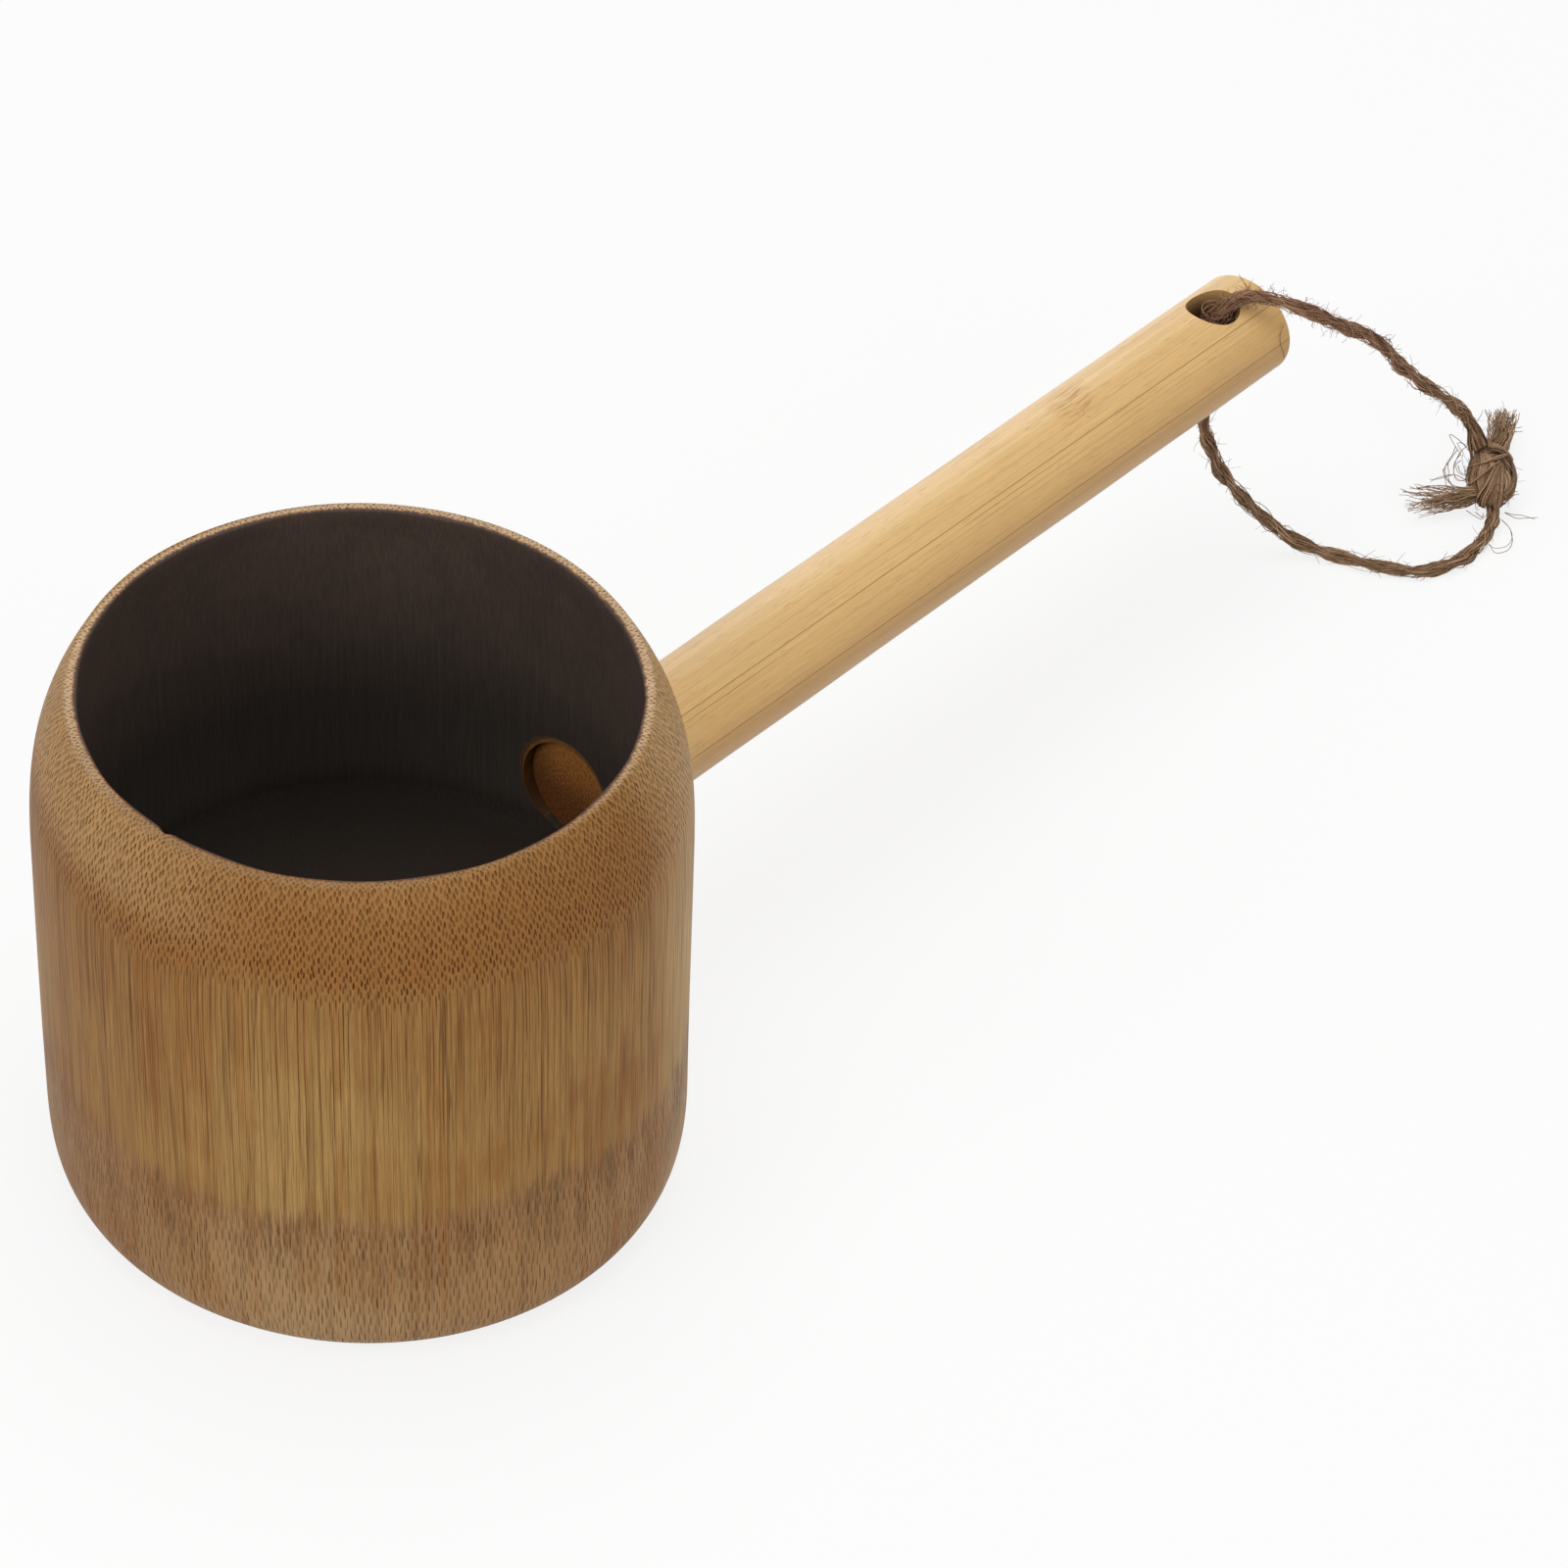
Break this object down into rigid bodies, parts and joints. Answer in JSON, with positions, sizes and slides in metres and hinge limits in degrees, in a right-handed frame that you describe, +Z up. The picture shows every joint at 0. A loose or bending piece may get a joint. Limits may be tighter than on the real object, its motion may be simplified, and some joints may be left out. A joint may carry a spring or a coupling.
{
  "type": "bath ladle",
  "caption": "Bath ladle with a turned bamboo cup, dark inside, a short round laminated bamboo handle let into its side and a knotted coir hanging loop.",
  "frame": {"origin": "under the middle of the ladle's length and width at table height, the cord left out", "axes": "+X along the level handle from the cup to the hanging hole, +Z up out of the cup's mouth"},
  "size_m": [0.321, 0.101, 0.092],
  "materials": {
    "brown_bamboo": "satin oiled bamboo, near-black matt lacquer inside the bowl",
    "pale_bamboo": "satin",
    "coir": "matt hairy two-ply twist"
  },
  "bodies": {
    "ladle": {"cup": "brown_bamboo", "handle_upper_strip": "pale_bamboo", "handle_core_strip": "pale_bamboo", "handle_lower_strip": "pale_bamboo"},
    "hanging_loop": {"cord_upper_run": "coir", "cord_lower_run": "coir", "cord_knot": "coir", "cord_long_tail": "coir", "cord_short_tail": "coir"}
  },
  "joints": [
    {"name": "loop_swing", "type": "hinge", "parent": "ladle", "child": "hanging_loop", "pos_m": [0.1209, -0.0015, 0.0444], "axis": [0, 0, 1], "range_deg": [-80, 130]}
  ]
}
